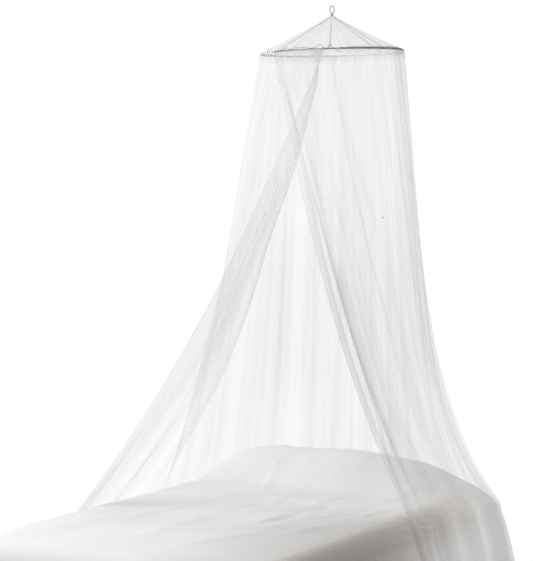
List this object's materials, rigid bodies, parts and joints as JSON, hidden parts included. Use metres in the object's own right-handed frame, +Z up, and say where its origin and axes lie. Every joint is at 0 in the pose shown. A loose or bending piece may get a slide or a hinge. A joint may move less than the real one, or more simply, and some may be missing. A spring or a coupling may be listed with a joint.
{
  "type": "mosquito net canopy and bed",
  "caption": "Sheer hoop-hung net canopy with a cone roof and a floor-length skirt drawn apart at the front, falling over a made double bed.",
  "frame": {"origin": "on the floor, on the flat underside of the bed's base, straight below the ceiling hook and the middle of the hoop", "axes": "+Z up; +Y towards the bed's head and -Y towards its foot; +X towards the bed's side that the canopy's opening faces"},
  "size_m": [1.6253, 2.3852, 2.758],
  "materials": {
    "net": "sheer white knitted net",
    "bedspread": "soft white brushed cotton",
    "pillow": "white cotton",
    "mattress": "plain ticking",
    "bed_base": "plain upholstery cloth",
    "hoop": "dark warm grey",
    "ring": "dull zinc",
    "crimp": "dark bound cord",
    "cord": "grey twisted cord",
    "drawcord": "dark grey cord",
    "knot": "pale woven tape"
  },
  "bodies": {
    "root": {"net_skirt": "net", "net_roof": "net", "bedspread": "bedspread", "pillow_left": "pillow", "pillow_right": "pillow", "mattress": "mattress", "bed_base": "bed_base", "hoop": "hoop", "ceiling_ring": "ring", "ring_crimp": "crimp", "suspension_cord_1": "cord", "suspension_cord_2": "cord", "suspension_cord_3": "cord", "suspension_cord_4": "cord", "drawcord": "drawcord", "corner_knot": "knot"}
  },
  "joints": []
}
